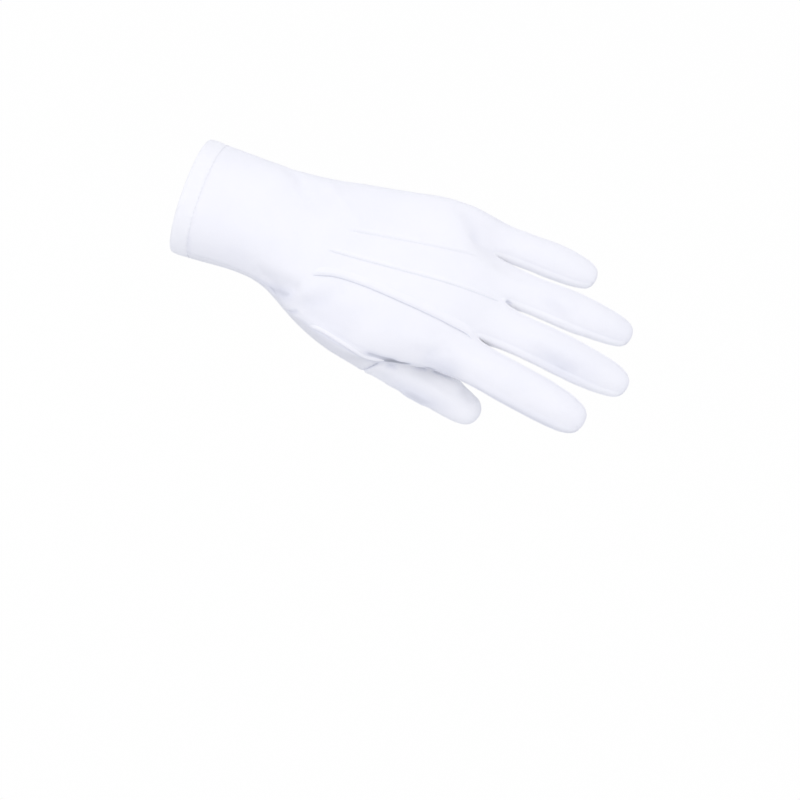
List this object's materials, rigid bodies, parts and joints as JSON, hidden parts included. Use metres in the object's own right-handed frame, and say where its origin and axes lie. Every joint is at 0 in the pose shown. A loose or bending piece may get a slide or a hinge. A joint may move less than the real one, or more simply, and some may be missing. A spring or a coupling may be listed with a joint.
{
  "type": "short glove",
  "caption": "White short dress glove for the left hand, hollow and in its worn form, with a hemmed wrist opening, strips between the fingers and raised lines on the back.",
  "frame": {"origin": "centre of the wrist opening, where the glove sits on the wrist", "axes": "+X from the wrist to the fingertips, +Y to the little finger's side, +Z out of the back of the hand"},
  "size_m": [0.2299, 0.0981, 0.0536],
  "materials": {
    "cuff_hem": "matte fine knit",
    "back": "matte fine knit",
    "palm": "matte fine knit",
    "thumb": "matte fine knit",
    "strip_index_middle": "matte fine knit",
    "strip_middle_ring": "matte fine knit",
    "strip_ring_little": "matte fine knit"
  },
  "bodies": {
    "root": {"cuff_hem": "cuff_hem", "back": "back", "palm": "palm", "thumb": "thumb", "strip_index_middle": "strip_index_middle", "strip_middle_ring": "strip_middle_ring", "strip_ring_little": "strip_ring_little"}
  },
  "joints": []
}
